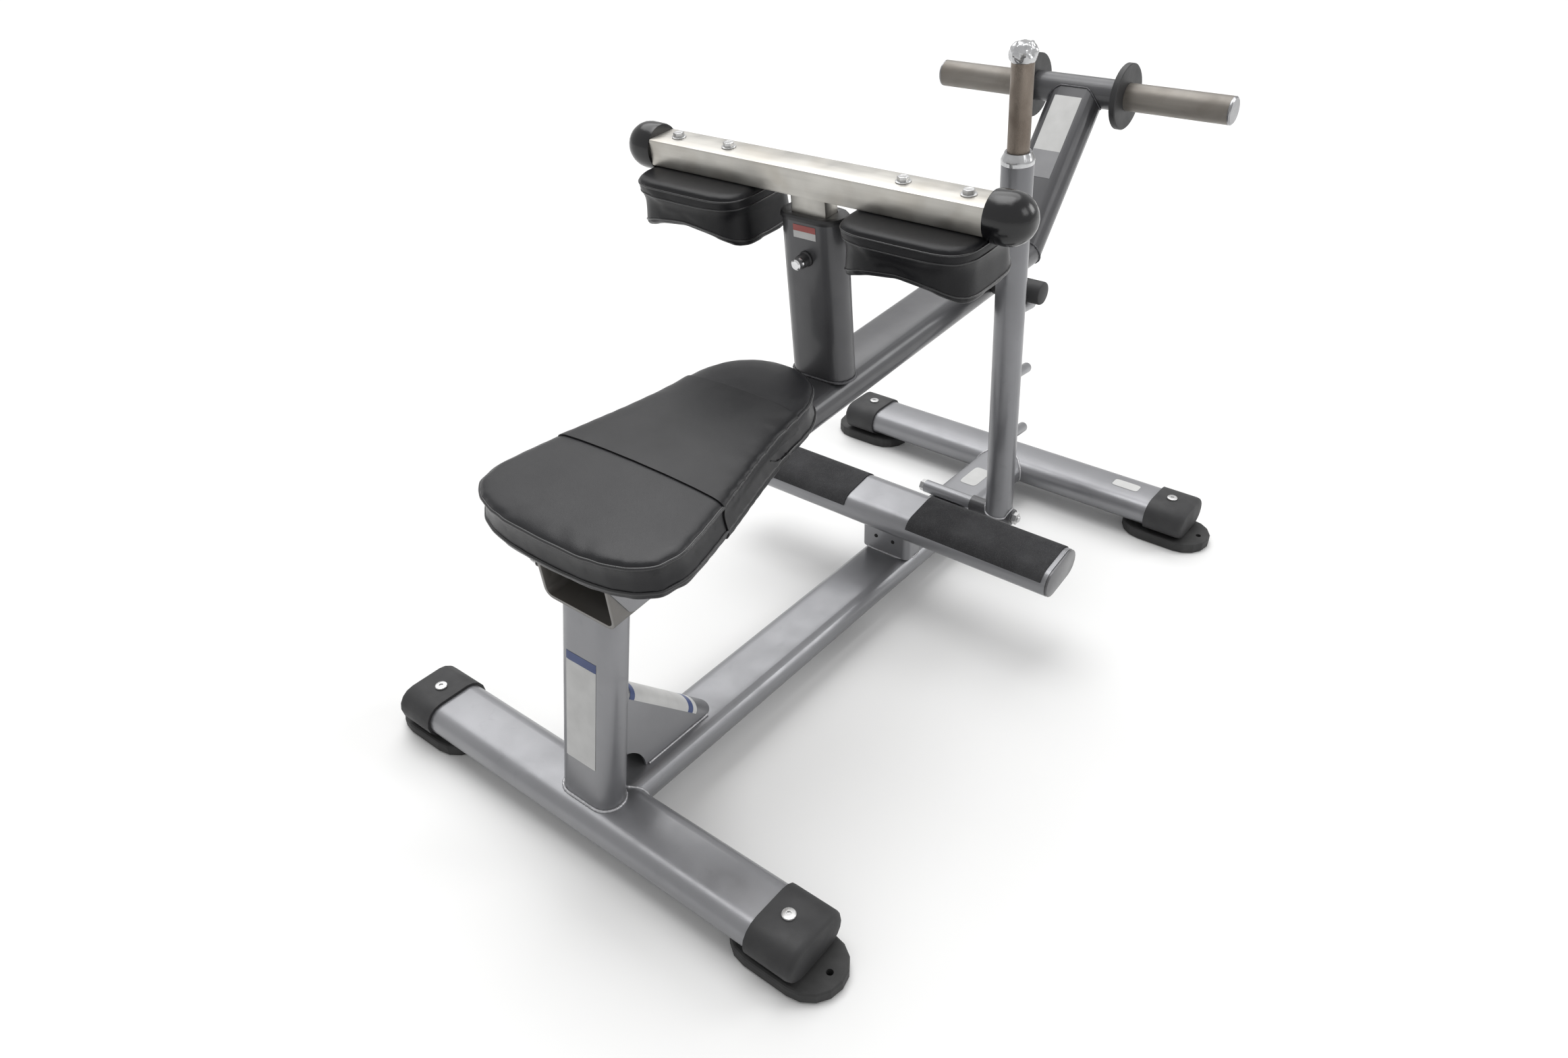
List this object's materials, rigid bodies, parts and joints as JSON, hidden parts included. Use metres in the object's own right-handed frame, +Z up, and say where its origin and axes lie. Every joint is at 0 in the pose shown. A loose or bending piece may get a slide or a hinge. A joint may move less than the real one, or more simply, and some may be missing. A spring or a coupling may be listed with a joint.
{
  "type": "seated calf raise machine",
  "caption": "Seated calf raise machine with a padded seat, footrest, pivoting loading lever with weight horns, height-adjustable thigh pads and a swing-away catch.",
  "frame": {"origin": "on the floor under the middle of the machine's overall length and width", "axes": "+Z up, +Y from the seat to the weight horns, +X to the sitter's right"},
  "size_m": [0.862, 1.43, 0.9314],
  "materials": {
    "silver_paint": "satin",
    "graphite_paint": "satin",
    "black_rubber": "matte",
    "black_vinyl": "satin",
    "grip_sheet": "matte",
    "bare_steel": "brushed",
    "bright_steel": "polished",
    "zinc_plated": "satin",
    "black_plastic": "matte",
    "plywood": "matte"
  },
  "bodies": {
    "frame": {"front_foot_tube": "silver_paint", "rear_foot_tube": "silver_paint", "spine_tube": "silver_paint", "front_left_cap": "black_rubber", "front_right_cap": "black_rubber", "rear_left_cap": "black_rubber", "rear_right_cap": "black_rubber", "front_left_floor_pad": "black_rubber", "front_right_floor_pad": "black_rubber", "rear_left_floor_pad": "black_rubber", "rear_right_floor_pad": "black_rubber", "seat_post": "silver_paint", "seat_gusset": "silver_paint", "seat_bracket": "silver_paint", "left_pivot_cheek": "silver_paint", "right_pivot_cheek": "silver_paint", "seat_mount_plate": "silver_paint", "seat_board": "plywood", "seat_pad": "black_vinyl", "seat_cover": "black_vinyl", "lever_pivot_bolt": "zinc_plated", "footrest_stub": "silver_paint", "footrest_tube": "silver_paint", "footrest_left_grip": "grip_sheet", "footrest_right_grip": "grip_sheet", "footrest_left_end_plate": "silver_paint", "footrest_right_end_plate": "silver_paint", "catch_cross_tube": "silver_paint", "catch_pivot_bolt": "zinc_plated"},
    "lever": {"lever_hub": "graphite_paint", "left_pivot_bush": "black_plastic", "right_pivot_bush": "black_plastic", "lever_beam": "graphite_paint", "thigh_post": "graphite_paint", "post_collar": "black_plastic", "weight_arm": "graphite_paint", "weight_cross_tube": "graphite_paint", "left_plate_stop": "black_rubber", "right_plate_stop": "black_rubber", "left_weight_sleeve": "bare_steel", "right_weight_sleeve": "bare_steel", "left_sleeve_plug": "bright_steel", "right_sleeve_plug": "bright_steel", "roller_pin": "graphite_paint", "catch_roller": "black_rubber", "pop_pin_barrel": "black_plastic"},
    "thigh_carriage": {"pad_slide_tube": "bare_steel", "pad_crossbar": "bare_steel", "left_bar_dome": "black_rubber", "right_bar_dome": "black_rubber", "left_thigh_pad": "black_vinyl", "right_thigh_pad": "black_vinyl"},
    "pop_pin": {"pop_pin": "bright_steel"},
    "catch": {"catch_hub": "graphite_paint", "catch_post": "silver_paint", "upper_catch_peg": "bare_steel", "middle_catch_peg": "bare_steel", "lower_catch_peg": "bare_steel", "catch_handle": "bare_steel", "handle_cap": "zinc_plated"}
  },
  "joints": [
    {"name": "lever_pivot", "type": "hinge", "parent": "frame", "child": "lever", "pos_m": [0, -0.59936, 0.4486], "axis": [1, 0, 0], "range_deg": [0, 1.8]},
    {"name": "thigh_pad_height", "type": "slide", "parent": "lever", "child": "thigh_carriage", "axis": [0, -0.0872, 0.9962], "range_m": [-0.025, 0.1]},
    {"name": "pop_pin_pull", "type": "slide", "parent": "lever", "child": "pop_pin", "axis": [0, -0.9962, -0.0872], "range_m": [0, 0.01], "stiffness_N_per_m": 600},
    {"name": "catch_swing", "type": "hinge", "parent": "frame", "child": "catch", "pos_m": [0.11, 0.28364, 0.0887], "axis": [1, 0, 0], "range_deg": [0, 18]}
  ]
}
